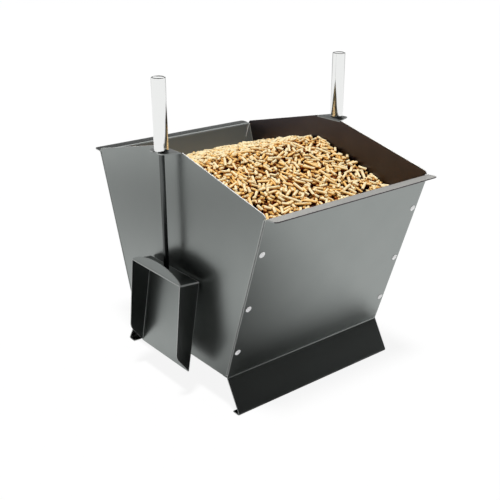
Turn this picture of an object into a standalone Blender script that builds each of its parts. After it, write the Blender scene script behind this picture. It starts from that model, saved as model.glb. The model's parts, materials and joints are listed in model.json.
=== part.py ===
# Pellet bucket: a folded sheet-steel bucket on two flared feet, with a shovel hung on each side.
# Units are metres, +Z is up, the front faces -Y, and the origin is on the floor under the middle.
import math
import random

import bmesh
import bpy
from mathutils import Matrix, Vector

MM = 0.001

# Sheet metal
SHEET = 1.5 * MM
BEND_INNER = 1.0 * MM
BEND_STEPS = 3
CORNER_STEPS = 4
RELIEF = 1.2 * MM  # slot at each end of a bend
CLEARANCE = 0.3 * MM  # between pieces that rest on each other

# Front and back panels, over their outer faces
BODY_WIDTH = 300 * MM
RIM_HEIGHT = 309.8 * MM
RIM_DEPTH = 408.4 * MM  # between the two rim bends
RIM_FLANGE = 18.5 * MM
RIM_FLANGE_RISE = 0.8 * MM  # outer edge above the bend
RIM_CORNER = 6 * MM
RIM_BEND = 2.5 * MM  # radius under the flange
WAIST_HEIGHT = 49.3 * MM
WAIST_DEPTH = 242.9 * MM
WAIST_BEND = 3 * MM  # radius in the waist's hollow
FOOT_DEPTH = 299.2 * MM
FOOT_LIP = 16 * MM
FOOT_CORNER = 1 * MM

# Side panels
SIDE_DROP = 1.8 * MM  # lower edge below the waist bend
GABLE_RISE = 3.5 * MM  # low end of the gable above the rim
GABLE_CORNER = 6 * MM
EAR_RISE = 45.1 * MM  # top of the ear above the rim
EAR_BASE = 50 * MM
EAR_TIP = 29.5 * MM
EAR_REACH = 26.4 * MM
EAR_CORNER = 3.5 * MM
SLOT_PLAY = 0.5 * MM  # each side of the rod
SEAM_FLANGE = 14 * MM
SEAM_DROP = 2 * MM  # top of the seam flange below the rim
SEAM_LIFT = 3 * MM  # foot of the seam flange above the floor plate
SEAM_MITRE = 20 * MM
FLOOR_FLANGE = 18 * MM
FLOOR_FLANGE_SETBACK = 8 * MM

# Seam rivets, measured down the wall from the rim bend
RIVET_DROPS = (55 * MM, 146 * MM, 225 * MM)
RIVET_EDGE = 7.8 * MM  # from the panel's side edge
RIVET_HEAD = 9.5 * MM
RIVET_DOME = 1 * MM
RIVET_SHANK = 4.8 * MM
RIVET_TAIL = 7 * MM
RIVET_TAIL_LENGTH = 2.8 * MM
RIVET_SIDES = 12
DOME_STEPS = 3

# Shovels
ROD_DIAMETER = 8 * MM
ROD_OUT = 15.7 * MM  # rod axis from the side panel's outer face
ROD_DROP = 176.2 * MM  # from the ear down to the scoop's top wall
ROD_SIDES = 24
GRIP_DIAMETER = 20 * MM
GRIP_LENGTH = 100 * MM
GRIP_CHAMFER = 1 * MM
GRIP_BORE = 15 * MM
GRIP_SIDES = 48
SCOOP_WIDTH = 126 * MM
SCOOP_LENGTH = 137.8 * MM  # along the plate, to the cutting edge
SCOOP_BEND = 1.8 * MM  # outer radius of the pan's folds
SCOOP_TILT = math.radians(9.5)
SCOOP_GAP = 1.6 * MM  # plate's upper end from the side panel
SCOOP_TOP_WALL = 33.8 * MM
SCOOP_TOP_RISE = math.radians(4.7)  # of the top wall, going out
SHOULDER_RUNOUT = 24.7 * MM  # where the side walls slope down to the cutting edge
SHOULDER_HEIGHT = 25.5 * MM
SHOULDER_CORNER = 6 * MM
LIP_RISE = 14.6 * MM
LIP_FULLNESS = 1.4  # 1 is half an ellipse, 2 a parabola
LIP_LEAN = math.radians(10.6)
LIP_ROOT = 0.8 * MM  # depth of the lip's root in the top wall
LIP_SETBACK = 0.4 * MM
LIP_STEPS = 20

# Pellets
HEAP_RISE = 8.5 * MM  # ridge above the rim
HEAP_RIDGE = 22 * MM  # ridge behind the middle
HEAP_FRONT_SLOPE = math.radians(17)
HEAP_BACK_SLOPE = math.radians(15)
HEAP_ROUNDING = 12 * MM
HEAP_ROWS = 18
HEAP_PASSES = 8
PELLET_DIAMETER = 6 * MM
PELLET_LENGTH = 15 * MM  # of the longest ones
PELLET_SHORTEST = 9 * MM
PELLET_SPACE = 1 * MM  # between the rounds in which the pellets on top are turned
PELLET_PROUD = 1 * MM  # a pellet's axis above the heap
PELLET_SIDES = 6
PELLET_SEED = 5
FILL_PLAY = 0.5 * MM  # between the pellets and the walls

SMOOTH_ANGLE = math.radians(40)

HALF_WIDTH = BODY_WIDTH / 2
BEND_OUTER = BEND_INNER + SHEET
CUT_LENGTH = 5 * SHEET  # lets a cutter pass right through the sheets
EAR_HEIGHT = RIM_HEIGHT + EAR_RISE
SIDE_BOTTOM = WAIST_HEIGHT - SIDE_DROP
FLOOR_BOTTOM = SIDE_BOTTOM + SHEET + CLEARANCE
FLOOR_TOP = FLOOR_BOTTOM + SHEET
SEAM_SEAT = SHEET + CLEARANCE  # from a wall's outer face to the seam flange on its inside
WALL_HEIGHT = RIM_HEIGHT - SHEET - WAIST_HEIGHT  # from the waist bend to the rim bend
WALL_LEAN = math.atan2((RIM_DEPTH - WAIST_DEPTH) / 2, WALL_HEIGHT)
PLATE_TOP = -ROD_DROP - (ROD_OUT - SCOOP_GAP) * math.tan(SCOOP_TOP_RISE)  # scoop's fold, from the ear

LOOKS = {
    "powder_coat": {"colour": (0.200, 0.208, 0.205), "roughness": 0.30, "metallic": 0.75},
    "dark_coat": {"colour": (0.060, 0.062, 0.061), "roughness": 0.35, "metallic": 0.75},
    "rivet": {"colour": (0.86, 0.86, 0.86), "roughness": 0.25, "metallic": 0.9},
    "polished_steel": {"colour": (0.90, 0.90, 0.89), "roughness": 0.06, "metallic": 1.0},
    "pellets": {"colour": (0.58, 0.36, 0.15), "roughness": 0.85, "metallic": 0.0},
}


def new_collection(name):
    collection = bpy.data.collections.new(name)
    bpy.context.scene.collection.children.link(collection)
    return collection


def place(name, mesh, look, parent, location=(0, 0, 0), rotation=(0, 0, 0)):
    part = bpy.data.objects.new(name, mesh)
    material = bpy.data.materials.new(name)
    material.use_nodes = True
    shader = material.node_tree.nodes["Principled BSDF"]
    shader.inputs["Base Color"].default_value = (*LOOKS[look]["colour"], 1)
    shader.inputs["Roughness"].default_value = LOOKS[look]["roughness"]
    shader.inputs["Metallic"].default_value = LOOKS[look]["metallic"]
    if not mesh.materials:
        mesh.materials.append(None)
    part.material_slots[0].link = "OBJECT"
    part.material_slots[0].material = material
    part.parent = parent
    part.location = location
    part.rotation_euler = rotation
    parts.objects.link(part)
    return part


def place_cutter(name, mesh, parent, location=(0, 0, 0), rotation=(0, 0, 0)):
    cutter = bpy.data.objects.new(name, mesh)
    cutter.parent = parent
    cutter.location = location
    cutter.rotation_euler = rotation
    cutter.hide_render = True
    cutter.display_type = "WIRE"
    cutters.objects.link(cutter)
    return cutter


def place_empty(name, parent, location=(0, 0, 0), turn=0.0):
    empty = bpy.data.objects.new(name, None)
    empty.parent = parent
    empty.location = location
    empty.rotation_euler = (0, 0, turn)
    parts.objects.link(empty)
    return empty


def modify(part, kind, **settings):
    modifier = part.modifiers.new(kind.lower(), kind)
    for name, value in settings.items():
        setattr(modifier, name, value)


def thicken(part):
    modify(part, "SOLIDIFY", thickness=SHEET, offset=-1, use_even_offset=True)


def cut(part, *tools):
    for tool in tools:
        modify(part, "BOOLEAN", operation="DIFFERENCE", object=tool, solver="EXACT")


def turn_profile(part, sides):
    modify(part, "SCREW", axis="Z", angle=math.tau, steps=sides, render_steps=sides,
           use_merge_vertices=True, merge_threshold=0.00001)


def finish_mesh(bm, name, smooth=False):
    mesh = bpy.data.meshes.new(name)
    bm.to_mesh(mesh)
    bm.free()
    if smooth:
        mesh.shade_smooth()
        mesh.set_sharp_from_angle(angle=SMOOTH_ANGLE)
    return mesh


def moved_verts(result):
    return [item for item in result["geom"] if isinstance(item, bmesh.types.BMVert)]


def moved_edge(result):
    return next(item for item in result["geom"] if isinstance(item, bmesh.types.BMEdge))


def face_towards(bm, direction):
    bmesh.ops.recalc_face_normals(bm, faces=bm.faces[:])
    largest = max(bm.faces, key=lambda face: face.calc_area())
    if largest.normal.dot(Vector(direction)) < 0:
        bmesh.ops.reverse_faces(bm, faces=bm.faces[:])


def round_corners(bm, corners, radius):
    bmesh.ops.bevel(bm, geom=corners, offset=radius, offset_type="OFFSET", segments=CORNER_STEPS,
                    profile=0.5, affect="VERTICES")


def wall_reach(z, inset):
    # Distance from the middle to the plane that lies the given depth inside a wall's outer face.
    return WAIST_DEPTH / 2 + (z - WAIST_HEIGHT) * math.tan(WALL_LEAN) - inset / math.cos(WALL_LEAN)


def filleted(points, radii):
    path = [points[0]]
    for before, corner, after, radius in zip(points, points[1:], points[2:], radii):
        back = (before - corner).normalized()
        ahead = (after - corner).normalized()
        half_angle = back.angle(ahead) / 2
        setback = radius / math.tan(half_angle)
        centre = corner + (back + ahead).normalized() * (radius / math.sin(half_angle))
        first = (corner + back * setback - centre).normalized()
        last = (corner + ahead * setback - centre).normalized()
        steps = [step / BEND_STEPS for step in range(BEND_STEPS + 1)]
        path += [centre + first.slerp(last, step) * radius for step in steps]
    return path + [points[-1]]


def panel_mesh():
    # Lip on the floor, flared foot, leaning wall and rim flange in one sheet, as seen at the front.
    bend_height = RIM_HEIGHT - SHEET
    corners = [
        Vector((FOOT_LIP - FOOT_DEPTH / 2, 0)),
        Vector((-FOOT_DEPTH / 2, 0)),
        Vector((-WAIST_DEPTH / 2, WAIST_HEIGHT)),
        Vector((-RIM_DEPTH / 2, bend_height)),
        Vector((-RIM_DEPTH / 2 - RIM_FLANGE, bend_height + RIM_FLANGE_RISE)),
    ]
    profile = filleted(corners, (BEND_OUTER, WAIST_BEND, RIM_BEND))
    bm = bmesh.new()
    chain = [bm.verts.new((-HALF_WIDTH, point.x, point.y)) for point in profile]
    edges = [bm.edges.new(pair) for pair in zip(chain, chain[1:])]
    swept = bmesh.ops.extrude_edge_only(bm, edges=edges)
    bmesh.ops.translate(bm, verts=moved_verts(swept), vec=(BODY_WIDTH, 0, 0))
    rim_tips = [vert for vert in bm.verts if vert.co.y < -RIM_DEPTH / 2 - RIM_FLANGE / 2]
    lip_tips = [vert for vert in bm.verts if vert.co.y > corners[0].x - FOOT_LIP / 4 and vert.co.z <= 0]
    round_corners(bm, rim_tips, RIM_CORNER)
    round_corners(bm, lip_tips, FOOT_CORNER)
    face_towards(bm, (0, -1, 0))
    return finish_mesh(bm, "folded_panel")


def fold(bm, edge, centre, axis, angle, reach):
    # Bends the sheet on from an edge about an axis, then carries it straight on.
    turn = Matrix.Rotation(angle / BEND_STEPS, 3, axis)
    for _ in range(BEND_STEPS):
        strip = bmesh.ops.extrude_edge_only(bm, edges=[edge])
        bmesh.ops.rotate(bm, verts=moved_verts(strip), cent=centre, matrix=turn)
        edge = moved_edge(strip)
    strip = bmesh.ops.extrude_edge_only(bm, edges=[edge])
    bmesh.ops.translate(bm, verts=moved_verts(strip), vec=reach)
    return moved_verts(strip)


def side_panel_mesh():
    # The left side panel: an upright gable with its seam flanges, floor flange and ear.
    seam_low = FLOOR_TOP + SEAM_LIFT
    seam_high = RIM_HEIGHT - SEAM_DROP
    floor_bend = SIDE_BOTTOM + BEND_OUTER
    corner_bottom = SIDE_BOTTOM + RELIEF
    floor_end = wall_reach(SIDE_BOTTOM, SEAM_SEAT) - FLOOR_FLANGE_SETBACK
    ear_bend = EAR_HEIGHT - SHEET - BEND_INNER
    bend_seat = SEAM_SEAT + BEND_OUTER
    seam_foot = (wall_reach(seam_low, bend_seat), seam_low)
    seam_top = (wall_reach(seam_high, bend_seat), seam_high)
    gable_tip = (wall_reach(RIM_HEIGHT + GABLE_RISE, SEAM_SEAT), RIM_HEIGHT + GABLE_RISE)
    half = [
        (floor_end, floor_bend),
        (floor_end + RELIEF, floor_bend),
        (floor_end + RELIEF, corner_bottom),
        (wall_reach(corner_bottom, SEAM_SEAT), corner_bottom),
        (wall_reach(seam_low - RELIEF, SEAM_SEAT), seam_low - RELIEF),
        (wall_reach(seam_low - RELIEF, bend_seat), seam_low - RELIEF),
        seam_foot,
        seam_top,
        (wall_reach(seam_high + RELIEF, bend_seat), seam_high + RELIEF),
        (wall_reach(seam_high + RELIEF, SEAM_SEAT), seam_high + RELIEF),
        gable_tip,
        (EAR_BASE / 2 + RELIEF, EAR_HEIGHT),
        (EAR_BASE / 2 + RELIEF, ear_bend),
        (EAR_BASE / 2, ear_bend),
    ]
    bm = bmesh.new()
    back = [bm.verts.new((-HALF_WIDTH, y, z)) for y, z in half]
    front = [bm.verts.new((-HALF_WIDTH, -y, z)) for y, z in half]
    bm.faces.new(back + front[::-1])
    gable_tips = [row[half.index(gable_tip)] for row in (back, front)]

    for side, row in ((1, back), (-1, front)):
        low = row[half.index(seam_foot)]
        high = row[half.index(seam_top)]
        axis = (high.co - low.co).normalized()
        centre = low.co + Vector((BEND_OUTER, 0, 0))
        reach = (SEAM_FLANGE - BEND_OUTER, 0, 0)
        ends = fold(bm, bm.edges.get((low, high)), centre, axis, -side * math.pi / 2, reach)
        top = max(ends, key=lambda vert: vert.co.z)
        foot = min(ends, key=lambda vert: vert.co.z)
        top.co -= axis * SEAM_MITRE
        foot.co += axis * SEAM_FLANGE / 2

    floor_edge = bm.edges.get((back[0], front[0]))
    floor_centre = (BEND_OUTER - HALF_WIDTH, 0, floor_bend)
    ends = fold(bm, floor_edge, floor_centre, (0, 1, 0), -math.pi / 2, (FLOOR_FLANGE - BEND_OUTER, 0, 0))
    for vert in ends:
        vert.co.y -= math.copysign(FLOOR_FLANGE / 2, vert.co.y)

    ear_edge = bm.edges.get((back[-1], front[-1]))
    ear_centre = (-HALF_WIDTH - BEND_INNER, 0, ear_bend)
    ear_tips = fold(bm, ear_edge, ear_centre, (0, 1, 0), -math.pi / 2, (BEND_INNER - EAR_REACH, 0, 0))
    for vert in ear_tips:
        vert.co.y = math.copysign(EAR_TIP / 2, vert.co.y)

    round_corners(bm, gable_tips, GABLE_CORNER)
    round_corners(bm, ear_tips, EAR_CORNER)
    face_towards(bm, (-1, 0, 0))
    return finish_mesh(bm, "side_panel")


def prism_mesh(name, outline, height):
    bm = bmesh.new()
    base = bm.faces.new([bm.verts.new((x, y, 0)) for x, y in outline])
    raised = bmesh.ops.extrude_face_region(bm, geom=[base])
    bmesh.ops.translate(bm, verts=moved_verts(raised), vec=(0, 0, height))
    bmesh.ops.recalc_face_normals(bm, faces=bm.faces[:])
    return finish_mesh(bm, name)


def floor_mesh():
    # Lies on the side panels' floor flanges and reaches to all four walls.
    half_depth = wall_reach(FLOOR_BOTTOM, SEAM_SEAT)
    half_width = HALF_WIDTH - SHEET - BEND_INNER
    right = Vector((half_width, 0))
    back = Vector((0, half_depth))
    return prism_mesh("floor_plate", [-right - back, right - back, right + back, back - right], SHEET)


def slot_mesh():
    # Open-ended slot about the rod, out through the ear's tip; local -X points out.
    radius = ROD_DIAMETER / 2 + SLOT_PLAY
    out = EAR_REACH - ROD_OUT + radius
    turns = [math.pi * (step / ROD_SIDES - 0.5) for step in range(ROD_SIDES + 1)]
    arc = [(radius * math.cos(turn), radius * math.sin(turn)) for turn in turns]
    return prism_mesh("ear_slot", arc + [(-out, radius), (-out, -radius)], CUT_LENGTH)


def rivet_mesh():
    # Turned about local +Z, which points out of the wall; z = 0 is the wall's outer face.
    head = RIVET_HEAD / 2
    ball = (head ** 2 + RIVET_DOME ** 2) / (2 * RIVET_DOME)
    spread = math.asin(head / ball)
    stack = 2 * SHEET + CLEARANCE
    tail_top = -stack - CLEARANCE
    tail_bottom = tail_top - RIVET_TAIL_LENGTH
    dome_base = CLEARANCE + RIVET_DOME - ball
    turns = [spread * step / DOME_STEPS for step in range(DOME_STEPS + 1)]
    profile = [(ball * math.sin(turn), dome_base + ball * math.cos(turn)) for turn in turns]
    profile += [
        (RIVET_SHANK / 2, CLEARANCE),
        (RIVET_SHANK / 2, tail_top),
        (RIVET_TAIL / 2, tail_top),
        (RIVET_TAIL / 2, tail_bottom + RIVET_TAIL_LENGTH / 2),
        (RIVET_SHANK / 2, tail_bottom),
        (0, tail_bottom),
    ]
    return profile_mesh("rivet", profile)


def profile_mesh(name, profile):
    bm = bmesh.new()
    chain = [bm.verts.new((radius, 0, z)) for radius, z in profile]
    for pair in zip(chain, chain[1:]):
        bm.edges.new(pair)
    return finish_mesh(bm, name)


def grip_mesh():
    # Polished round bar with a blind bore below for the rod's end; z = 0 is its lower face.
    radius = GRIP_DIAMETER / 2
    bore = ROD_DIAMETER / 2 + CLEARANCE
    return profile_mesh("grip", [
        (0, GRIP_LENGTH),
        (radius - GRIP_CHAMFER, GRIP_LENGTH),
        (radius, GRIP_LENGTH - GRIP_CHAMFER),
        (radius, GRIP_CHAMFER),
        (radius - GRIP_CHAMFER, 0),
        (bore, 0),
        (bore, GRIP_BORE),
        (0, GRIP_BORE),
    ])


def cylinder_mesh(name, diameter, low, high, sides):
    bm = bmesh.new()
    middle = Matrix.Translation((0, 0, (low + high) / 2))
    bmesh.ops.create_cone(bm, cap_ends=True, segments=sides, radius1=diameter / 2, radius2=diameter / 2,
                          depth=high - low, matrix=middle)
    return finish_mesh(bm, name, smooth=True)


def pan_point(along, out, y):
    # A point of the left scoop in its shovel's frame: along the plate, then out from the plate.
    x = ROD_OUT - SCOOP_GAP - along * math.sin(SCOOP_TILT) - out * math.cos(SCOOP_TILT)
    z = PLATE_TOP - along * math.cos(SCOOP_TILT) + out * math.sin(SCOOP_TILT)
    return Vector((x, y, z))


def top_wall_point(out, y):
    # A point of the scoop's top wall, out from its fold.
    fold_angle = SCOOP_TILT - SCOOP_TOP_RISE
    return pan_point(out * math.sin(fold_angle), out * math.cos(fold_angle), y)


def scoop_mesh():
    # Plate, top wall and two side walls of the pan, as its outer face.
    half = SCOOP_WIDTH / 2
    bm = bmesh.new()
    plate = [bm.verts.new(pan_point(along, 0, y)) for along, y in (
        (SCOOP_LENGTH, -half), (0, -half), (0, half), (SCOOP_LENGTH, half))]
    bm.faces.new(plate)
    rim = [bm.edges.get(pair) for pair in zip(plate, plate[1:])]
    walls = bmesh.ops.extrude_edge_only(bm, edges=rim)
    shoulders = []
    for vert in moved_verts(walls):
        if vert.co.z < PLATE_TOP - SCOOP_LENGTH / 2:
            vert.co = pan_point(SCOOP_LENGTH - SHOULDER_RUNOUT, SHOULDER_HEIGHT, vert.co.y)
            shoulders.append(vert)
        else:
            vert.co = top_wall_point(SCOOP_TOP_WALL, vert.co.y)
    round_corners(bm, shoulders, SHOULDER_CORNER)
    face_towards(bm, (1, 0, 0))
    return finish_mesh(bm, "scoop")


def lip_mesh():
    # Flat bow that stands on the scoop's top wall, root below y = 0.
    half = (SCOOP_WIDTH - SHEET) / 2
    turns = [math.pi * (step / LIP_STEPS - 0.5) for step in range(1, LIP_STEPS)]
    bow = [(half * math.sin(turn), LIP_RISE * math.cos(turn) ** LIP_FULLNESS) for turn in turns]
    arc = [(-half, 0), *bow, (half, 0)]
    return prism_mesh("scoop_lip", arc + [(half, -LIP_ROOT), (-half, -LIP_ROOT)], SHEET)


def heap_height(y):
    away = math.hypot(y - HEAP_RIDGE, HEAP_ROUNDING) - HEAP_ROUNDING
    slope = HEAP_BACK_SLOPE if y > HEAP_RIDGE else HEAP_FRONT_SLOPE
    return RIM_HEIGHT + HEAP_RISE - away * math.tan(slope)


def heap_end(side, inset):
    # Where the heap meets the front (-1) or back (1) wall, found by a few passes.
    y = side * wall_reach(RIM_HEIGHT, inset)
    for _ in range(HEAP_PASSES):
        y = side * wall_reach(heap_height(y), inset)
    return y


def fill_mesh():
    inset = SHEET + FILL_PLAY
    floor = FLOOR_TOP + CLEARANCE
    half_width = HALF_WIDTH - SHEET - FILL_PLAY
    front = heap_end(-1, inset)
    back = heap_end(1, inset)
    bm = bmesh.new()
    bmesh.ops.create_grid(bm, x_segments=1, y_segments=HEAP_ROWS, size=1)
    top = bm.verts[:]
    edge = [item for item in bm.edges if item.is_boundary]
    skirt = bmesh.ops.extrude_edge_only(bm, edges=edge)
    base = moved_verts(skirt)
    for vert in base:
        vert.co = (vert.co.x * half_width, vert.co.y * wall_reach(floor, inset), floor)
    for vert in top:
        y = front + (back - front) * (vert.co.y + 1) / 2
        vert.co = (vert.co.x * half_width, y, heap_height(y))
    base_edges = [item for item in skirt["geom"] if isinstance(item, bmesh.types.BMEdge)]
    bmesh.ops.contextual_create(bm, geom=base_edges)
    bmesh.ops.recalc_face_normals(bm, faces=bm.faces[:])
    return finish_mesh(bm, "pellet_fill", smooth=True)


def spread_evenly(reach, pitch):
    # Places at least a pitch apart, with half a pitch left over at each end.
    count = int(2 * reach / pitch)
    return [reach * ((2 * number + 1) / count - 1) for number in range(count)]


def pellet_mesh():
    # The pellets on top: each lies in a round of its own, turned any way, and sinks partly into the heap.
    chance = random.Random(PELLET_SEED)
    pitch = math.hypot(PELLET_LENGTH, PELLET_DIAMETER) + PELLET_SPACE
    clear_of_seams = relief_depth() / math.cos(WALL_LEAN)
    front = heap_end(-1, SHEET) + clear_of_seams
    back = heap_end(1, SHEET) - clear_of_seams
    stagger = pitch / 4
    columns = spread_evenly(HALF_WIDTH - SHEET - FILL_PLAY - stagger, pitch)
    bm = bmesh.new()
    for row in spread_evenly((back - front) / 2, pitch):
        y = (front + back) / 2 + row
        steepness = (heap_height(y + pitch / 2) - heap_height(y - pitch / 2)) / pitch
        stagger = -stagger
        for column in columns:
            yaw = chance.uniform(0, math.pi)
            length = chance.uniform(PELLET_SHORTEST, PELLET_LENGTH)
            along = Vector((math.cos(yaw), math.sin(yaw), steepness * math.sin(yaw)))
            spot = Matrix.Translation((column + stagger, y, heap_height(y) + PELLET_PROUD))
            turn = along.to_track_quat("Z", "Y").to_matrix().to_4x4()
            bmesh.ops.create_cone(bm, cap_ends=True, segments=PELLET_SIDES, radius1=PELLET_DIAMETER / 2,
                                  radius2=PELLET_DIAMETER / 2, depth=length, matrix=spot @ turn)
    return finish_mesh(bm, "pellets_on_top")


def relief_depth():
    return 2 * SHEET + 2 * CLEARANCE + RIVET_TAIL_LENGTH + FILL_PLAY


def relief_mesh():
    # Room in the pellets for one wall's two seam flanges and their rivet tails; z = 0 is the outer face.
    depth = relief_depth()
    width = SEAM_FLANGE + FILL_PLAY
    length = WALL_HEIGHT / math.cos(WALL_LEAN)
    bm = bmesh.new()
    for side in (-1, 1):
        middle = Matrix.Translation((side * HALF_WIDTH, 0, 0))
        size = Matrix.Diagonal((2 * width, 2 * length, 2 * depth, 1))
        bmesh.ops.create_cube(bm, size=1, matrix=middle @ size)
    return finish_mesh(bm, "seam_relief")


def wall_point(x, drop):
    # On the front wall's outer face, below the rim bend.
    y = drop * math.sin(WALL_LEAN) - RIM_DEPTH / 2
    return Vector((x, y, RIM_HEIGHT - SHEET - drop * math.cos(WALL_LEAN)))


for leftover in list(bpy.data.objects):
    bpy.data.objects.remove(leftover)
parts = new_collection("pellet_bucket")
cutters = new_collection("cutters")

bucket = place_empty("bucket_body", None)
front_side = place_empty("front_side", bucket)
back_side = place_empty("back_side", bucket, turn=math.pi)
out_of_wall = (math.pi / 2 + WALL_LEAN, 0, 0)  # turns local +Z to the front wall's outward normal

panel = panel_mesh()
side_panel = side_panel_mesh()
slot = slot_mesh()
rivet = rivet_mesh()
hole = cylinder_mesh("rivet_hole", RIVET_SHANK + 2 * CLEARANCE, -CUT_LENGTH, CUT_LENGTH, RIVET_SIDES)
relief = relief_mesh()

holes = {}
reliefs = []
rivet_x = HALF_WIDTH - RIVET_EDGE
walls = (("front", front_side, ("left", "right")), ("back", back_side, ("right", "left")))
for face, carrier, sides in walls:
    for side, x in zip(sides, (-rivet_x, rivet_x)):
        for number, drop in enumerate(RIVET_DROPS, start=1):
            key = f"{face}_{side}_{number}"
            spot = wall_point(x, drop)
            turn_profile(place(f"rivet_{key}", rivet, "rivet", carrier, spot, out_of_wall), RIVET_SIDES)
            holes[face, side, number] = place_cutter(f"hole_{key}", hole, carrier, spot, out_of_wall)
    reliefs.append(place_cutter(f"relief_{face}", relief, carrier, wall_point(0, 0), out_of_wall))
    sheet = place(f"{face}_panel", panel, "powder_coat", carrier)
    thicken(sheet)
    cut(sheet, *[tool for key, tool in holes.items() if key[0] == face])

grip = grip_mesh()
rod = cylinder_mesh("rod", ROD_DIAMETER, CLEARANCE - ROD_DROP, GRIP_BORE, ROD_SIDES)
scoop = scoop_mesh()
lip = lip_mesh()
lip_inset = LIP_ROOT * math.sin(LIP_LEAN) + LIP_SETBACK
lip_seat = top_wall_point(SCOOP_TOP_WALL - lip_inset, 0)
lip_turn = (math.pi / 2 + LIP_LEAN, 0, math.pi / 2)  # chord along Y, leaning back over the top wall

for side, carrier in (("left", front_side), ("right", back_side)):
    sheet = place(f"{side}_side_panel", side_panel, "powder_coat", carrier)
    ear_axis = Vector((-HALF_WIDTH - ROD_OUT, 0, EAR_HEIGHT))
    ear_slot = place_cutter(f"{side}_ear_slot", slot, carrier, ear_axis - Vector((0, 0, CUT_LENGTH / 2)))
    thicken(sheet)
    cut(sheet, ear_slot, *[tool for key, tool in holes.items() if key[1] == side])

    shovel = place_empty(f"{side}_shovel", carrier, ear_axis)
    held = place(f"{side}_grip", grip, "polished_steel", shovel, (0, 0, CLEARANCE))
    turn_profile(held, GRIP_SIDES)
    place(f"{side}_rod", rod, "dark_coat", shovel)
    pan = place(f"{side}_scoop", scoop, "powder_coat", shovel)
    pan_lip = place_cutter(f"{side}_scoop_lip", lip, shovel, lip_seat, lip_turn)
    modify(pan, "BEVEL", width=SCOOP_BEND, segments=BEND_STEPS, limit_method="ANGLE")
    thicken(pan)
    modify(pan, "BOOLEAN", operation="UNION", object=pan_lip, solver="EXACT")

place("floor_plate", floor_mesh(), "powder_coat", bucket, (0, 0, FLOOR_BOTTOM))
fill = place("pellet_fill", fill_mesh(), "pellets", bucket)
pellets = place_cutter("pellets_on_top", pellet_mesh(), bucket)
modify(fill, "BOOLEAN", operation="UNION", object=pellets, solver="EXACT")
cut(fill, *reliefs)
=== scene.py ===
import json
import math

import bmesh
import bpy
import numpy as np
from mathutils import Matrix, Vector


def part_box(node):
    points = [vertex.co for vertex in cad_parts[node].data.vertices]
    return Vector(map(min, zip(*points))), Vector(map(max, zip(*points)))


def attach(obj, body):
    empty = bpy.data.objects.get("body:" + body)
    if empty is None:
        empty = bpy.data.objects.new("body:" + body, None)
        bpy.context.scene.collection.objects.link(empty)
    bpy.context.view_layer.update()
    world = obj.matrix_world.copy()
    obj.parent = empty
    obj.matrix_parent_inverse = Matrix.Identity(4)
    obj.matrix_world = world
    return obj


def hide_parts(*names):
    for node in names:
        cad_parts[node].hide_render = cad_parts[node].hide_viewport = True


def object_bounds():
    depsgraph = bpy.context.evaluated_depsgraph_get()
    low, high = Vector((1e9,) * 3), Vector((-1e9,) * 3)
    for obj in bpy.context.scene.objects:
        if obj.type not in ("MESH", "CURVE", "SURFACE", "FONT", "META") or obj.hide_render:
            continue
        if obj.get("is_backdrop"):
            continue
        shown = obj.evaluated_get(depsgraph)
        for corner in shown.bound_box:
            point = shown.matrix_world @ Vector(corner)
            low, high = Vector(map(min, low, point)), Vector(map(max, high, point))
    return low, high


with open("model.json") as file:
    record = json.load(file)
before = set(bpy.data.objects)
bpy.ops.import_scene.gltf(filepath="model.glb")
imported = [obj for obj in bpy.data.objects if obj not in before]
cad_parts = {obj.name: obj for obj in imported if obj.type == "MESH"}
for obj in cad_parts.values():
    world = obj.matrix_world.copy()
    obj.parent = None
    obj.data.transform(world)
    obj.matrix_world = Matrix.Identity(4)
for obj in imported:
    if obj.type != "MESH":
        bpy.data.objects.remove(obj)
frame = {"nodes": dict(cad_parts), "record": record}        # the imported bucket: panels, rivets, two shovels and the heap
nodes = frame["nodes"]
bodyOf = {node: body for body, members in frame["record"]["behaviour"]["bodies"].items() for node in members}
cadLow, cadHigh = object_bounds()
mm = 0.001
weldGap = 0.002 * mm     # points of a mesh that are closer than this are one
print("frame loaded:", len(nodes), "nodes")


# Small helpers

def linear(hexColour):  # sRGB hex to the linear colour that shaders take
    parts = [int(hexColour[i:i + 2], 16) / 255 for i in (1, 3, 5)]
    return (*[c / 12.92 if c <= 0.04045 else ((c + 0.055) / 1.055) ** 2.4 for c in parts], 1)


def addNode(tree, kind, inputs=None, **settings):
    node = tree.nodes.new(kind)
    for name, value in settings.items():
        setattr(node, name, value)
    for name, value in (inputs or {}).items():
        if isinstance(value, bpy.types.NodeSocket):
            tree.links.new(value, node.inputs[name])
        else:
            node.inputs[name].default_value = value
    return node


def newMaterial(name):
    material = bpy.data.materials.new(name)
    material.use_nodes = True
    tree = material.node_tree
    tree.nodes.clear()
    return material, tree


def perMm(size):  # texture scale for a pattern of that size, on coordinates in metres
    return 1 / (size * mm)


def weldedCopy(node):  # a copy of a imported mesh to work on, with its split points joined
    mesh = nodes[node].data.copy()
    bm = bmesh.new()
    bm.from_mesh(mesh)
    bmesh.ops.remove_doubles(bm, verts=bm.verts[:], dist=weldGap)
    return mesh, bm


def shaded(bm, mesh, sharp):  # writes the work to the mesh, smooth up to that angle
    bm.to_mesh(mesh)
    bm.free()
    mesh.shade_smooth()
    mesh.set_sharp_from_angle(angle=math.radians(sharp))
    return mesh


def newPiece(name, mesh, material, body, slot, *replaced):
    piece = bpy.data.objects.new(name, mesh)
    bpy.context.scene.collection.objects.link(piece)
    piece.data.materials.clear()
    piece.data.materials.append(material)
    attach(piece, body)
    if replaced:
        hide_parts(*replaced)
    return piece


# Camera: stands where the photograph was taken from

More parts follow.
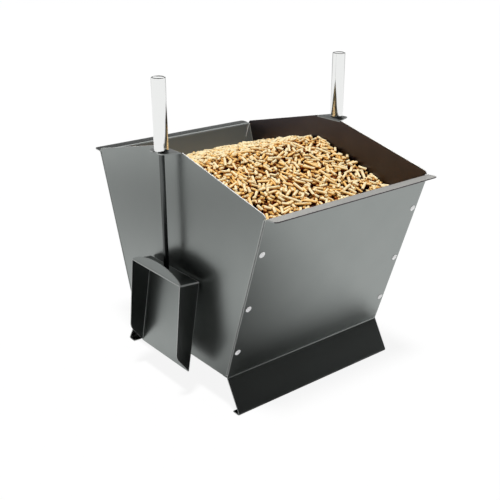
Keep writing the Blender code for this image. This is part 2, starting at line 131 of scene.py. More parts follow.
view = {  # m, degrees, and mm for the lens
    "place": (-0.74699, -0.91878, 0.64915), "turn": (67.836, 0.100, -38.718), "lens": 58.83, "sensor": 36,
}
lensData = bpy.data.cameras.new("photoCamera")
lensData.lens = view["lens"]
lensData.sensor_width = view["sensor"]
camera = bpy.data.objects.new("photoCamera", lensData)
camera.location = view["place"]
camera.rotation_euler = [math.radians(angle) for angle in view["turn"]]
bpy.context.scene.collection.objects.link(camera)
bpy.context.scene.camera = camera
bpy.context.scene.view_settings.view_transform = "Standard"
print("camera set")


# Materials: sizes and rises of patterns in mm

# Graphite powder coat on folded steel sheet: baked on with fine metal flake, so it mirrors softly,
# with faint waves in the thin sheet and a pebbled skin.
coat = {
    "colour": "#8e9290", "tint": "#888d8b", "metallic": 1.0, "roughness": 0.29, "roughnessSpread": 0.03,
    "cloud": 45, "pebble": 1.6, "pebbleDepth": 0.012, "pebbleRise": 0.2,
    "wave": 85, "waveDepth": 0.10, "waveRise": 2,
}
# The same coat with painted highlights, painted shade and a dust film, and the rods' own.
paintedShadeLook = {  # painted shade: dull and dark on the right panel's inside and on the rims' outer cut edges
    **coat, "colour": "#575053", "tint": "#4f494c", "roughness": 0.42,
}
filmed = {**coat, "metallic": 0.6}  # under a film of wood dust inside the front and back
edgeHighlightLook = {  # painted highlight: a paler coat along cut edges and folds, where they catch the light
    **coat, "colour": "#b0b3b1", "tint": "#a8aba9", "metallic": 0.7, "roughness": 0.36,
}
gableHighlightLook = {  # painted highlight: near white on the gables' upward cut edges, where they catch the light
    **coat, "colour": "#f4f4f2", "tint": "#ecece9", "metallic": 0.15, "roughness": 0.45,
}
rimHighlightLook = {  # painted highlight: paler on the front rim's top, where it mirrors the softbox
    **coat, "colour": "#c6c5c1", "tint": "#bcbbb7", "metallic": 0.35, "roughness": 0.4,
}
rodLook = {  # near black, with no waves because the bar is straight; the scoops' inner sides take it as painted shade
    **coat, "colour": "#5a5d5c", "tint": "#545756", "waveDepth": 0.0,
}


def graphiteCoat(name, look):
    material, tree = newMaterial(name)
    place = addNode(tree, "ShaderNodeTexCoord").outputs["Object"]
    cloud = addNode(tree, "ShaderNodeTexNoise", {
        "Vector": place, "Scale": perMm(look["cloud"]), "Detail": 3.0})
    colour = addNode(tree, "ShaderNodeMixRGB", {
        "Fac": cloud.outputs["Fac"], "Color1": linear(look["colour"]), "Color2": linear(look["tint"])})
    low = look["roughness"] - look["roughnessSpread"]
    high = look["roughness"] + look["roughnessSpread"]
    rough = addNode(tree, "ShaderNodeMapRange", {
        "Value": cloud.outputs["Fac"], "To Min": low, "To Max": high})
    wave = addNode(tree, "ShaderNodeTexNoise", {
        "Vector": place, "Scale": perMm(look["wave"]), "Detail": 0.0})
    waveBump = addNode(tree, "ShaderNodeBump", {
        "Height": wave.outputs["Fac"], "Strength": look["waveDepth"], "Distance": look["waveRise"] * mm})
    pebble = addNode(tree, "ShaderNodeTexNoise", {
        "Vector": place, "Scale": perMm(look["pebble"]), "Detail": 1.0})
    pebbleBump = addNode(tree, "ShaderNodeBump", {
        "Height": pebble.outputs["Fac"], "Strength": look["pebbleDepth"],
        "Distance": look["pebbleRise"] * mm, "Normal": waveBump.outputs["Normal"]})
    shader = addNode(tree, "ShaderNodeBsdfPrincipled", {
        "Base Color": colour.outputs["Color"], "Metallic": look["metallic"],
        "Roughness": rough.outputs["Result"], "Normal": pebbleBump.outputs["Normal"]})
    addNode(tree, "ShaderNodeOutputMaterial", {"Surface": shader.outputs["BSDF"]})
    return material


# Mirror-polished stainless bar: buffed, so it shows the room with only a trace of lengthwise haze.
polish = {"colour": "#e6e7e6", "roughness": 0.035, "haze": 0.05, "hazeRange": (0.3, 0.7), "line": 1.2,
          "stretch": 40}


def polishedSteel(name, look):
    material, tree = newMaterial(name)
    place = addNode(tree, "ShaderNodeTexCoord").outputs["Object"]
    drawn = addNode(tree, "ShaderNodeMapping", {"Vector": place, "Scale": (1, 1, 1 / look["stretch"])})
    lines = addNode(tree, "ShaderNodeTexNoise", {
        "Vector": drawn.outputs["Vector"], "Scale": perMm(look["line"]), "Detail": 2.0})
    rough = addNode(tree, "ShaderNodeMapRange", {
        "Value": lines.outputs["Fac"], "From Min": look["hazeRange"][0], "From Max": look["hazeRange"][1],
        "To Min": look["roughness"], "To Max": look["haze"]})
    shader = addNode(tree, "ShaderNodeBsdfPrincipled", {
        "Base Color": linear(look["colour"]), "Metallic": 1.0, "Roughness": rough.outputs["Result"]})
    addNode(tree, "ShaderNodeOutputMaterial", {"Surface": shader.outputs["BSDF"]})
    return material


# Bright aluminium rivet: cold-headed and left bare, with a fine grain; drawn near white and nearly matt,
# partly its own pale colour and partly a painted reflection of the bright floor.
rivetLook = {"colour": "#fbfbfb", "metallic": 0.1, "roughness": 0.40, "grain": 0.7, "grainDepth": 0.04,
             "grainRise": 0.1}


def bareAluminium(name, look):
    material, tree = newMaterial(name)
    place = addNode(tree, "ShaderNodeTexCoord").outputs["Object"]
    grain = addNode(tree, "ShaderNodeTexNoise", {
        "Vector": place, "Scale": perMm(look["grain"]), "Detail": 2.0})
    bump = addNode(tree, "ShaderNodeBump", {
        "Height": grain.outputs["Fac"], "Strength": look["grainDepth"], "Distance": look["grainRise"] * mm})
    shader = addNode(tree, "ShaderNodeBsdfPrincipled", {
        "Base Color": linear(look["colour"]), "Metallic": look["metallic"], "Roughness": look["roughness"],
        "Normal": bump.outputs["Normal"]})
    addNode(tree, "ShaderNodeOutputMaterial", {"Surface": shader.outputs["BSDF"]})
    return material


# Pressed softwood pellet: sawdust forced through a die, so its skin is streaked lengthwise and a little
# shiny, with darker scorched streaks and rough ends. The streaks are drawn coarse enough to show.
# The ramp's dark end shows mostly where the tone is lowered as painted shade.
wood = {
    "light": "#ffeec2", "mid": "#ffcc74", "dark": "#7e2a04", "stops": (0.05, 0.5, 0.95), "contrast": 1.1,
    "streak": 1.5, "streakLength": 9, "roughness": 0.6, "gloss": 0.2,
    "grain": 1.1, "grainDepth": 0.5, "grainRise": 0.25,
}


def pressedWood(name, look):
    material, tree = newMaterial(name)
    skin = addNode(tree, "ShaderNodeAttribute", attribute_name="skin").outputs["Vector"]  # in mm, per pellet
    # each pellet's own tone, lowered as painted shade on deep pellets and on undersides
    toneAndShade = addNode(tree, "ShaderNodeAttribute", attribute_name="toneAndShade").outputs["Fac"]
    scale = (1 / look["streak"], 1 / look["streak"], 1 / look["streakLength"])
    drawn = addNode(tree, "ShaderNodeMapping", {"Vector": skin, "Scale": scale})
    streak = addNode(tree, "ShaderNodeTexNoise", {
        "Vector": drawn.outputs["Vector"], "Scale": 1.0, "Detail": 3.0})
    mixed = addNode(tree, "ShaderNodeMath", {
        0: streak.outputs["Fac"], 1: look["contrast"], 2: toneAndShade}, operation="MULTIPLY_ADD")
    ramp = addNode(tree, "ShaderNodeValToRGB", {"Fac": mixed.outputs["Value"]})
    stops = ramp.color_ramp.elements
    stops[0].position = look["stops"][0]
    stops[0].color = linear(look["dark"])
    stops[1].position = look["stops"][2]
    stops[1].color = linear(look["light"])
    stops.new(look["stops"][1]).color = linear(look["mid"])
    grain = addNode(tree, "ShaderNodeTexNoise", {"Vector": skin, "Scale": 1 / look["grain"], "Detail": 2.0})
    bump = addNode(tree, "ShaderNodeBump", {
        "Height": grain.outputs["Fac"], "Strength": look["grainDepth"], "Distance": look["grainRise"] * mm})
    shader = addNode(tree, "ShaderNodeBsdfPrincipled", {
        "Base Color": ramp.outputs["Color"], "Roughness": look["roughness"],
        "Specular IOR Level": look["gloss"], "Normal": bump.outputs["Normal"]})
    addNode(tree, "ShaderNodeOutputMaterial", {"Surface": shader.outputs["BSDF"]})
    return material


# Painted shade deep in the heap: a dark, matt, grainy fill standing for the shaded pellets below the top
# ones.
heapShadeLook = {"light": "#3a1200", "dark": "#1c0700", "lump": 7, "roughness": 0.9}


def heapShade(name, look):
    material, tree = newMaterial(name)
    place = addNode(tree, "ShaderNodeTexCoord").outputs["Object"]
    lump = addNode(tree, "ShaderNodeTexNoise", {
        "Vector": place, "Scale": perMm(look["lump"]), "Detail": 3.0})
    colour = addNode(tree, "ShaderNodeMixRGB", {
        "Fac": lump.outputs["Fac"], "Color1": linear(look["dark"]), "Color2": linear(look["light"])})
    shader = addNode(tree, "ShaderNodeBsdfPrincipled", {
        "Base Color": colour.outputs["Color"], "Roughness": look["roughness"]})
    addNode(tree, "ShaderNodeOutputMaterial", {"Surface": shader.outputs["BSDF"]})
    return material


sheetCoat = graphiteCoat("graphitePowderCoat", coat)
paintedShadeCoat = graphiteCoat("graphitePowderCoatPaintedShade", paintedShadeLook)
filmedCoat = graphiteCoat("graphitePowderCoatFilmed", filmed)
rimHighlightCoat = graphiteCoat("graphitePowderCoatRimHighlight", rimHighlightLook)
edgeHighlightCoat = graphiteCoat("graphitePowderCoatEdgeHighlight", edgeHighlightLook)
gableHighlightCoat = graphiteCoat("graphitePowderCoatGableHighlight", gableHighlightLook)
rodCoatAndScoopShade = graphiteCoat("blackPowderCoatAndScoopShade", rodLook)
barSteel = polishedSteel("polishedStainlessSteel", polish)
rivetMetal = bareAluminium("bareAluminium", rivetLook)
pelletWood = pressedWood("pressedSoftwood", wood)
heapShadeMaterial = heapShade("heapShade", heapShadeLook)
print("materials made")


# Folded sheets and rods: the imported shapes, with their cut edges rounded as a coating rounds them

sheet = {
    "edge": 0.4, "steps": 2, "sharp": 40, "flat": 1,      # how edges are rounded: mm, steps, degrees
    "narrow": 1.6, "turned": 5,                           # a cut edge or fold: mm wide, degrees to its sides
    "facing": 0.9, "up": 0.3, "sideways": 0.5,            # how much of its normal a face turns one way
    "rimDepth": 10, "rimLip": 3, "waist": 48, "waistReach": 6, "ear": 40,  # mm, where the coat differs
}
sheetNodes = ["front_panel", "back_panel", "left_side_panel", "right_side_panel", "floor_plate",
              "left_scoop", "right_scoop"]
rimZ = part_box("front_panel")[1].z - sheet["rimDepth"] * mm
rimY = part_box("back_panel")[1].y - sheet["rimLip"] * mm


def coatedCopy(node):
    mesh, bm = weldedCopy(node)
    bmesh.ops.dissolve_limit(bm, angle_limit=math.radians(sheet["flat"]), verts=bm.verts[:],
                             edges=bm.edges[:])
    limit = math.radians(sheet["sharp"])
    sharp = [edge for edge in bm.edges if edge.is_manifold and edge.calc_face_angle() > limit]
    bmesh.ops.bevel(bm, geom=sharp, offset=sheet["edge"] * mm, offset_type="OFFSET", segments=sheet["steps"],
                    profile=0.5, affect="EDGES", clamp_overlap=True)
    bm.normal_update()
    edgeFaces = []  # cut edges and rounded folds: narrow, and turned away from what lies along them
    for face in bm.faces:
        longest = max(edge.calc_length() for edge in face.edges)
        sides = [edge for edge in face.edges if edge.calc_length() > longest / 2]
        turnedAway = all(edge.calc_face_angle(0) > math.radians(sheet["turned"]) for edge in sides)
        edgeFaces.append(face.calc_area() < sheet["narrow"] * mm * longest and turnedAway)
    return shaded(bm, mesh, sheet["sharp"]), edgeFaces


def inward(face, axis):  # whether it looks at the middle of the object along that axis
    return abs(face.normal[axis]) > sheet["facing"] and face.normal[axis] * face.center[axis] < 0


def marked(node, face):  # which coat a face gets: a painted highlight on the front rim's top, a dust film inside the front and back, painted shade inside the right panel and the scoops
    # painted highlight: the front rim's top is drawn pale
    if node == "front_panel" and face.normal.z > sheet["facing"] and face.center.z > rimZ:
        return rimHighlightCoat
    if node.endswith("_panel") and inward(face, 1):
        return filmedCoat
    # painted shade: the right panel's inside is drawn dark
    if node == "right_side_panel" and inward(face, 0):
        return paintedShadeCoat
    if node.endswith("_scoop") and inward(face, 1):
        return rodCoatAndScoopShade  # painted shade: the scoop's inner sides take the dark rod coat
    return sheetCoat


def edgeMarked(node, face):  # and which coat a cut edge or fold gets: painted shade on the rims' outer edges, the plain coat at the waist, painted highlights elsewhere
    if node in ("front_panel", "back_panel"):
        # painted shade: the rims' outer cut edges are drawn dark, a shadow line under the flange
        if abs(face.center.y) > rimY:
            return paintedShadeCoat
        atWaist = abs(face.center.z - sheet["waist"] * mm) < sheet["waistReach"] * mm
        if atWaist and abs(face.normal.x) < sheet["sideways"]:
            return sheetCoat
    gable = node.endswith("_side_panel") and abs(face.center.y) > sheet["ear"] * mm
    # painted highlights: white on the gables' upward edges, paler on the other cut edges and folds
    return gableHighlightCoat if gable and face.normal.z > sheet["up"] else edgeHighlightCoat


for node in sheetNodes:
    mesh, edgeFaces = coatedCopy(node)
    piece = newPiece(f"{node}_coated", mesh, sheetCoat, bodyOf[node], "powder_coated_steel", node)
    for finish in (edgeHighlightCoat, paintedShadeCoat, filmedCoat, rimHighlightCoat, rodCoatAndScoopShade, gableHighlightCoat):
        mesh.materials.append(finish)
    for face, isEdge in zip(mesh.polygons, edgeFaces):
        finish = edgeMarked(node, face) if isEdge else marked(node, face)
        face.material_index = mesh.materials.find(finish.name)
    weighted = piece.modifiers.new("weightedNormals", "WEIGHTED_NORMAL")
    weighted.keep_sharp = True
for node in ("left_rod", "right_rod"):
    newPiece(f"{node}_coated", coatedCopy(node)[0], rodCoatAndScoopShade, bodyOf[node], "blackened_steel", node)
print("sheets and rods coated")


# Grips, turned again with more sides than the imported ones, and rivets, packed ones shaded smooth

grip = {  # mm
    "sides": 96, "edge": 1.0, "steps": 4, "hold": 0.2, "dish": 0.65, "rim": 0.5, "bore": 4.3,
    "boreDepth": 15,
}


def turned(name, profile, sides):  # profile: (radius, height) from the top of the axis, down the outside
    bm = bmesh.new()
    chain = [bm.verts.new((radius, 0, height)) for radius, height in profile]
    edges = [bm.edges.new(pair) for pair in zip(chain, chain[1:])]
    bmesh.ops.spin(bm, geom=chain + edges, axis=(0, 0, 1), cent=(0, 0, 0), steps=sides, angle=math.tau)
    bmesh.ops.remove_doubles(bm, verts=bm.verts[:], dist=weldGap)
    bmesh.ops.recalc_face_normals(bm, faces=bm.faces[:])
    return shaded(bm, bpy.data.meshes.new(name), sheet["sharp"])


def gripMesh(radius, length):
    edge = grip["edge"] * mm
    arc = [math.pi / 2 * step / grip["steps"] for step in range(grip["steps"] + 1)]
    top = [(radius - edge + edge * math.sin(a), length - edge + edge * math.cos(a)) for a in arc]
    foot = [(radius - edge + edge * math.cos(a), edge - edge * math.sin(a)) for a in arc]
    hold = grip["hold"] * mm  # rings close to each rounded edge keep the long faces flat to the eye
    dish = grip["dish"] * mm
    rim = radius - edge - grip["rim"] * mm  # the end is faced off inside a narrow rim
    slope = [(rim - dish + dish * math.sin(a), length - dish * math.cos(a)) for a in arc]
    face = [(0, length - dish), (rim - dish - hold, length - dish)] + slope + [(rim + hold, length)]
    flank = [(radius, length - edge - hold), (radius, edge + hold)]
    boreRadius, boreTop = grip["bore"] * mm, grip["boreDepth"] * mm  # the rod sits in it
    bore = [(radius - edge - hold, 0), (boreRadius, 0), (boreRadius, boreTop), (0, boreTop)]
    return turned("grip", face + top + flank + foot + bore, grip["sides"])


for side in ("left", "right"):
    low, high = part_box(f"{side}_grip")
    piece = newPiece(f"{side}_grip_polished", gripMesh((high.x - low.x) / 2, high.z - low.z), barSteel,
                     bodyOf[f"{side}_grip"], "polished_steel", f"{side}_grip")
    piece.location = ((low.x + high.x) / 2, (low.y + high.y) / 2, low.z)
for node in nodes:
    if node.startswith("rivet_"):
        mesh, bm = weldedCopy(node)
        mesh = shaded(bm, mesh, sheet["sharp"])
        newPiece(f"{node}_bright", mesh, rivetMetal, "bucket", "rivet_aluminium", node)
print("grips and rivets made")


# Pellets: dropped one by one on a height map of the heap until it is full, each resting on what lies below

pellet = {
    "seed": 11, "radius": 2.2, "length": (5, 24), "usual": 12.5, "spread": 0.42, "sides": 8,      # mm
    "cell": 1.1, "bed": 10, "over": 6.0, "wallGap": 0.8, "seam": (17, 7), "coreDepth": 0.8,      # the heap
    "heapDepth": 20, "margin": 10, "touch": 0.01,
    "tries": 3, "misses": 140, "tilts": 25, "steepest": 0.6, "loose": 0.16,                      # the drop
    "rings": ((-0.5, 0.84), (-0.46, 1.0), (0.46, 1.0), (0.5, 0.84)), "waver": 0.03, "sharp": 50,  # the form
    "cut": 0.3, "rough": 0.15,
    "toneAndShade": (0.54, 0.14), "toneRange": (-0.4, 0.6), "shade": 1.9, "shadeFrom": 0.25, "under": 0.76,
    "skinShift": 1000,
}


def heapShape():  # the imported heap's outline from front to back, and the walls that it lies between
    co = np.array([vert.co for vert in nodes["pellet_fill"].data.vertices])
    halfWidth = co[:, 0].max()
    floorZ = co[:, 2].min()
    floorY = co[co[:, 2] < floorZ + mm, 1].max()
    edge = co[np.argmax(co[:, 1])]
    onSide = co[:, 0] > halfWidth - pellet["touch"] * mm
    side = co[onSide & (co[:, 2] > edge[2] - pellet["heapDepth"] * mm)]
    side = side[np.argsort(side[:, 1])]
    return {"halfWidth": halfWidth, "floorZ": floorZ, "floorY": floorY,
            "lean": (edge[1] - floorY) / (edge[2] - floorZ), "y": side[:, 1], "z": side[:, 2]}


def dropPellets(heap):
    rng = np.random.default_rng(pellet["seed"])
    radius = pellet["radius"] * mm
    cell = pellet["cell"] * mm
    reach = heap["halfWidth"]
    far = np.abs(heap["y"]).max() + pellet["margin"] * mm
    xs = np.arange(-reach, reach, cell)
    ys = np.arange(-far, far, cell)
    goal = np.tile(np.interp(ys, heap["y"], heap["z"]), (len(xs), 1))
    height = goal - pellet["bed"] * mm
    most = goal + pellet["over"] * mm
    tilts = np.linspace(-pellet["steepest"], pellet["steepest"], pellet["tilts"])
    made = []
    misses = 0
    while misses < pellet["misses"]:
        i = rng.integers(len(xs), size=pellet["tries"])
        j = rng.integers(len(ys), size=pellet["tries"])
        lowest = np.argmax(goal[i, j] - height[i, j])
        i, j = i[lowest], j[lowest]
        length = rng.lognormal(math.log(pellet["usual"]), pellet["spread"])
        length = np.clip(length, *pellet["length"]) * mm
        yaw = rng.uniform(0, math.pi)
        along = np.array((math.cos(yaw), math.sin(yaw)))
        span = np.abs(along) * length / 2 + radius
        x = float(np.clip(xs[i], span[0] - reach, reach - span[0]))
        wall = heap["floorY"] + heap["lean"] * (goal[i, j] - heap["floorZ"]) - pellet["wallGap"] * mm
        if abs(x) + span[0] > reach - pellet["seam"][0] * mm:  # clear of the seam flange and the rivet tails
            wall -= pellet["seam"][1] * mm
        y = float(np.clip(ys[j], span[1] - wall, wall - span[1]))
        i0, i1 = np.searchsorted(xs, (x - span[0], x + span[0]))
        j0, j1 = np.searchsorted(ys, (y - span[1], y + span[1]))
        dx = xs[i0:i1, None] - x
        dy = ys[None, j0:j1] - y
        s = dx * along[0] + dy * along[1]
        t = dy * along[0] - dx * along[1]
        under = (np.abs(s) <= length / 2) & (np.abs(t) < radius)
        rise = np.sqrt(np.maximum(radius ** 2 - t ** 2, 0))
        patch = height[i0:i1, j0:j1]
        rest = (patch + rise)[under]
        centre = (rest - tilts[:, None] * s[under]).max(axis=1)  # how high each tilt would hold it
        shake = rng.gumbel(0, pellet["loose"], len(tilts)) * radius
        best = int(np.argmin(centre + shake))  # near its easiest tilt
        top = centre[best] + tilts[best] * s + rise
        if (top - most[i0:i1, j0:j1])[under].max() > 0:
            misses += 1
            continue
        misses = 0
        height[i0:i1, j0:j1] = np.where(under, np.maximum(patch, top), patch)
        axis = np.array((along[0], along[1], tilts[best]))
        depth = (goal[i, j] + pellet["over"] * mm - centre[best]) / (pellet["over"] + pellet["bed"]) / mm
        made.append((np.array((x, y, centre[best])), axis / np.linalg.norm(axis), length, depth))
    return made


def pelletMesh(made):
    rng = np.random.default_rng(pellet["seed"] + 1)
    radius = pellet["radius"] * mm
    sides = pellet["sides"]
    turns = np.arange(sides) * math.tau / sides
    rings = pellet["rings"]  # (share of the length, share of the radius)
    ends = (rings[0][0], rings[-1][0])
    points, faces, skin, tonesAndShade = [], [], [], []
    for number, (middle, axis, length, depth) in enumerate(made):
        across = np.cross(axis, (0, 0, 1.0))
        across /= np.linalg.norm(across)
        up = np.cross(across, axis)
        start = number * (sides * len(rings) + 2)
        slant = rng.normal(0, pellet["cut"], size=(2, 2))
        spin = rng.uniform(0, math.tau)
        local = []
        for share, size in rings:
            end = int(share > 0)
            r = radius * size * (1 + rng.normal(0, pellet["waver"], size=sides))
            a = r * np.cos(turns + spin)
            b = r * np.sin(turns + spin)
            s = np.full(sides, share * length)
            if share in ends:  # the broken ends are cut askew
                ragged = rng.normal(0, pellet["rough"] * mm, size=sides)
                s = s + a * slant[end, 0] + b * slant[end, 1] + ragged
            local.append(np.stack((a, b, s), axis=1))
        for share in ends:
            local.append(np.array([[0, 0, share * length + rng.normal(0, 2 * pellet["rough"] * mm)]]))
        local = np.concatenate(local)
        points.append(middle + local[:, :1] * across + local[:, 1:2] * up + local[:, 2:] * axis)
        skin.append(local / mm + rng.uniform(0, pellet["skinShift"], size=3))
        toneAndShade = rng.normal(*pellet["toneAndShade"])
        toneAndShade -= pellet["shade"] * max(0, depth - pellet["shadeFrom"])  # painted shade: deep ones are darker
        below = (1 - local[:, 1] / radius) / 2
        tonesAndShade.append(np.clip(toneAndShade, *pellet["toneRange"]) - pellet["under"] * below)  # and painted shade: darker and browner underneath
        for ring in range(len(rings) - 1):
            for k in range(sides):
                a = start + ring * sides + k
                b = start + ring * sides + (k + 1) % sides
                faces.append((a, b, b + sides, a + sides))
        first, last = start + sides * len(rings), start + sides * len(rings) + 1
        tail = start + sides * (len(rings) - 1)
        for k in range(sides):
            faces.append((start + (k + 1) % sides, start + k, first))
            faces.append((tail + k, tail + (k + 1) % sides, last))
    mesh = bpy.data.meshes.new("pellets")
    mesh.from_pydata(np.concatenate(points).tolist(), [], faces)
    skinData = mesh.attributes.new("skin", "FLOAT_VECTOR", "POINT").data
    skinData.foreach_set("vector", np.concatenate(skin).ravel())
    toneAndShadeData = mesh.attributes.new("toneAndShade", "FLOAT", "POINT").data
    toneAndShadeData.foreach_set("value", np.concatenate(tonesAndShade))
    bm = bmesh.new()
    bm.from_mesh(mesh)
    bmesh.ops.recalc_face_normals(bm, faces=bm.faces[:])
    return shaded(bm, mesh, pellet["sharp"])


def coreMesh(heap):  # a dark fill for the pellets further down: painted shade that only shows between the top ones
    low = heap["floorY"] - pellet["seam"][1] * mm
    outline = [(-low, heap["floorZ"])]
    for y, z in zip(heap["y"], heap["z"] - pellet["coreDepth"] * pellet["bed"] * mm):
        wall = low + heap["lean"] * (z - heap["floorZ"])
        outline.append((float(np.clip(y, -wall, wall)), z))
    outline.append((low, heap["floorZ"]))
    bm = bmesh.new()
    face = bm.faces.new([bm.verts.new((-heap["halfWidth"], y, z)) for y, z in outline])
    grown = bmesh.ops.extrude_face_region(bm, geom=[face])["geom"]
    farEnd = [item for item in grown if isinstance(item, bmesh.types.BMVert)]
    bmesh.ops.translate(bm, verts=farEnd, vec=(2 * heap["halfWidth"], 0, 0))
    bmesh.ops.recalc_face_normals(bm, faces=bm.faces[:])
    mesh = bpy.data.meshes.new("pelletCore")
    bm.to_mesh(mesh)
    bm.free()
    return mesh


heap = heapShape()
dropped = dropPellets(heap)
pelletPiece = newPiece("pellets", pelletMesh(dropped), pelletWood, "bucket", "wood_pellets", "pellet_fill")
newPiece("pellet_core", coreMesh(heap), heapShadeMaterial, "bucket", "wood_pellets")
print("pellets dropped:", len(dropped), "faces:", len(pelletPiece.data.polygons))


# Studio: a pale floor, a soft key from above, and a room that is white low down and dark above

studio = {  # m and degrees
    "floorRadius": 14, "floorSides": 64, "floorGap": 0.0002, "floorColour": "#f9f9f9", "floorWhite": 0.9,
    "ambient": 0.12, "keyStrength": 3.2, "keyAngle": 9, "keyFrom": (-0.15, -0.15, 0.98),
    "roomDark": 0.02, "roomEdge": 0.24, "roomSoft": 0.07, "roomRight": 0.10, "roomBack": 1.2,
    "roomTurn": (0.0, 0.16), "roomLow": (0.2, 3.0),
    "boxFrom": (0.6, 0.2, 0.78), "boxBright": 1.8, "boxEdge": (0.90, 0.98),
    "poolLeft": (-0.6, -0.25), "poolBack": (0.6, 0.1), "poolFar": (1.15, 1.4), "poolDim": 0.4,
    "behind": (0.63, 0.78, 0.0), "behindEdge": (1.3, 2.2), "behindDim": 0.55,
    "shadePlace": (-0.41, -0.507, 0.0), "shadeTurn": 51, "shadeSize": (0.58, 0.42, 1.0),
    "shadeEdge": (0.6, 1.3), "shadeDark": 0.03,
}


def studioWorld():
    world = bpy.data.worlds.new("studio")
    bpy.context.scene.world = world
    world.use_nodes = True
    tree = world.node_tree
    tree.nodes.clear()
    path = addNode(tree, "ShaderNodeLightPath")
    direction = addNode(tree, "ShaderNodeTexCoord").outputs["Generated"]
    parts = addNode(tree, "ShaderNodeSeparateXYZ", {"Vector": direction})
    turn = addNode(tree, "ShaderNodeMath", {
        0: parts.outputs["Y"], 1: parts.outputs["X"]}, operation="SUBTRACT")
    low = addNode(tree, "ShaderNodeMath", {
        0: studio["roomLow"][0], 1: parts.outputs["Z"]}, operation="SUBTRACT", use_clamp=True)
    wide = addNode(tree, "ShaderNodeMath", {
        0: low.outputs["Value"], 1: studio["roomLow"][1], 2: turn.outputs["Value"]},
        operation="MULTIPLY_ADD")
    wall = addNode(tree, "ShaderNodeMapRange", {  # a white backdrop behind and to the left, wider low down
        "Value": wide.outputs["Value"], "From Min": studio["roomTurn"][0], "From Max": studio["roomTurn"][1],
        "To Min": studio["roomRight"], "To Max": studio["roomBack"]}, interpolation_type="SMOOTHSTEP")
    room = addNode(tree, "ShaderNodeMapRange", {  # and the room is dark above it
        "Value": parts.outputs["Z"], "From Min": studio["roomEdge"] - studio["roomSoft"],
        "From Max": studio["roomEdge"] + studio["roomSoft"], "To Min": wall.outputs["Result"],
        "To Max": studio["roomDark"]}, interpolation_type="SMOOTHSTEP")
    towards = addNode(tree, "ShaderNodeVectorMath", {
        0: direction, 1: Vector(studio["boxFrom"]).normalized()}, operation="DOT_PRODUCT")
    box = addNode(tree, "ShaderNodeMapRange", {  # the softbox, as metal sees it
        "Value": towards.outputs["Value"], "From Min": studio["boxEdge"][0],
        "From Max": studio["boxEdge"][1], "To Min": 0.0, "To Max": studio["boxBright"]},
        interpolation_type="SMOOTHSTEP")
    bright = addNode(tree, "ShaderNodeMath", {
        0: room.outputs["Result"], 1: box.outputs["Result"]}, operation="ADD")
    seen = addNode(tree, "ShaderNodeMath", {
        0: path.outputs["Is Camera Ray"], 1: path.outputs["Is Transmission Ray"]}, operation="MAXIMUM")
    ambient = addNode(tree, "ShaderNodeBackground", {"Color": (1, 1, 1, 1), "Strength": studio["ambient"]})
    mirrored = addNode(tree, "ShaderNodeBackground", {
        "Color": (1, 1, 1, 1), "Strength": bright.outputs["Value"]})
    white = addNode(tree, "ShaderNodeBackground", {"Color": (1, 1, 1, 1), "Strength": 1.0})
    soft = addNode(tree, "ShaderNodeMixShader", {
        0: path.outputs["Is Glossy Ray"], 1: ambient.outputs["Background"],
        2: mirrored.outputs["Background"]})
    whole = addNode(tree, "ShaderNodeMixShader", {
        0: seen.outputs["Value"], 1: soft.outputs["Shader"], 2: white.outputs["Background"]})
    addNode(tree, "ShaderNodeOutputWorld", {"Surface": whole.outputs["Shader"]})


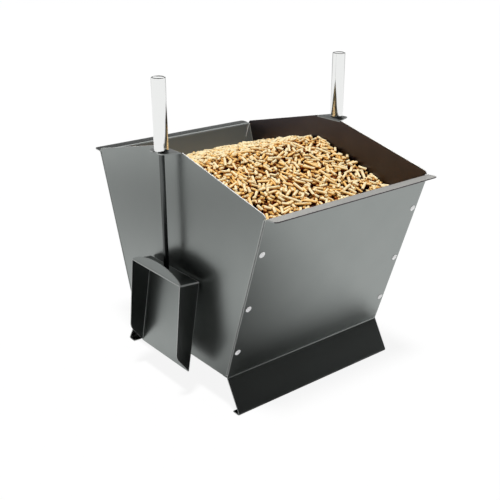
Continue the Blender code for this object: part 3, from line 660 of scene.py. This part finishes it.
def studioFloor():
    material, tree = newMaterial("paleFloor")
    path = addNode(tree, "ShaderNodeLightPath")
    place = addNode(tree, "ShaderNodeNewGeometry").outputs["Position"]
    parts = addNode(tree, "ShaderNodeSeparateXYZ", {"Vector": place})
    left = addNode(tree, "ShaderNodeMapRange", {  # in metal, the floor's light fades to the left and back
        "Value": parts.outputs["X"], "From Min": studio["poolLeft"][0], "From Max": studio["poolLeft"][1],
        "To Min": studio["poolDim"] - 1, "To Max": 0.0})
    back = addNode(tree, "ShaderNodeMapRange", {
        "Value": parts.outputs["Y"], "From Min": studio["poolBack"][1], "From Max": studio["poolBack"][0]})
    far = addNode(tree, "ShaderNodeVectorMath", {0: place}, operation="LENGTH")
    near = addNode(tree, "ShaderNodeMapRange", {
        "Value": far.outputs["Value"], "From Min": studio["poolFar"][1], "From Max": studio["poolFar"][0]})
    leftBack = addNode(tree, "ShaderNodeMath", {
        0: left.outputs["Result"], 1: back.outputs["Result"]}, operation="MULTIPLY")
    less = addNode(tree, "ShaderNodeMath", {
        0: leftBack.outputs["Value"], 1: near.outputs["Result"]}, operation="MULTIPLY")
    pool = addNode(tree, "ShaderNodeMath", {0: less.outputs["Value"], 1: 1.0}, operation="ADD")
    oval = addNode(tree, "ShaderNodeMapping", {
        "Vector": place, "Location": studio["shadePlace"], "Scale": studio["shadeSize"],
        "Rotation": (0, 0, math.radians(studio["shadeTurn"]))}, vector_type="TEXTURE")
    away = addNode(tree, "ShaderNodeVectorMath", {0: oval.outputs["Vector"]}, operation="LENGTH")
    dark = addNode(tree, "ShaderNodeMapRange", {  # it lies in shade in front
        "Value": away.outputs["Value"], "From Min": studio["shadeEdge"][0],
        "From Max": studio["shadeEdge"][1], "To Min": studio["shadeDark"], "To Max": 1.0},
        interpolation_type="SMOOTHSTEP")
    along = addNode(tree, "ShaderNodeVectorMath", {0: place, 1: studio["behind"]}, operation="DOT_PRODUCT")
    fade = addNode(tree, "ShaderNodeMapRange", {  # and it is grey far behind
        "Value": along.outputs["Value"], "From Min": studio["behindEdge"][0],
        "From Max": studio["behindEdge"][1], "To Min": 1.0, "To Max": studio["behindDim"]},
        interpolation_type="SMOOTHSTEP")
    lit = addNode(tree, "ShaderNodeMath", {
        0: pool.outputs["Value"], 1: dark.outputs["Result"]}, operation="MULTIPLY")
    mirrored = addNode(tree, "ShaderNodeMath", {
        0: lit.outputs["Value"], 1: fade.outputs["Result"]}, operation="MULTIPLY")
    shade = addNode(tree, "ShaderNodeMix", {
        0: path.outputs["Is Glossy Ray"], 2: 1.0, 3: mirrored.outputs["Value"]})
    colour = addNode(tree, "ShaderNodeVectorMath", {
        0: linear(studio["floorColour"])[:3], "Scale": shade.outputs[0]}, operation="SCALE")
    paint = addNode(tree, "ShaderNodeBsdfDiffuse", {"Color": colour.outputs["Vector"]})
    white = addNode(tree, "ShaderNodeEmission", {"Strength": 1.0})
    share = addNode(tree, "ShaderNodeMath", {
        0: path.outputs["Is Camera Ray"], 1: studio["floorWhite"]}, operation="MULTIPLY")
    mixed = addNode(tree, "ShaderNodeMixShader", {
        0: share.outputs["Value"], 1: paint.outputs["BSDF"], 2: white.outputs["Emission"]})
    addNode(tree, "ShaderNodeOutputMaterial", {"Surface": mixed.outputs["Shader"]})
    bm = bmesh.new()
    bmesh.ops.create_circle(bm, cap_ends=True, segments=studio["floorSides"], radius=studio["floorRadius"])
    mesh = bpy.data.meshes.new("floor")
    bm.to_mesh(mesh)
    bm.free()
    mesh.materials.append(material)
    floor = bpy.data.objects.new("floor", mesh)
    floor.location.z = cadLow.z - studio["floorGap"]
    bpy.context.scene.collection.objects.link(floor)
    floor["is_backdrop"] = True


def studioLight():
    keyData = bpy.data.lights.new("softKey", "SUN")
    keyData.energy = studio["keyStrength"]
    keyData.angle = math.radians(studio["keyAngle"])
    key = bpy.data.objects.new("softKey", keyData)
    key.rotation_euler = Vector(studio["keyFrom"]).to_track_quat("Z", "Y").to_euler()
    key.visible_glossy = False  # metal sees the softbox in the world instead
    bpy.context.scene.collection.objects.link(key)


studioWorld()
studioFloor()
studioLight()
print("studio lit")

low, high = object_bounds()
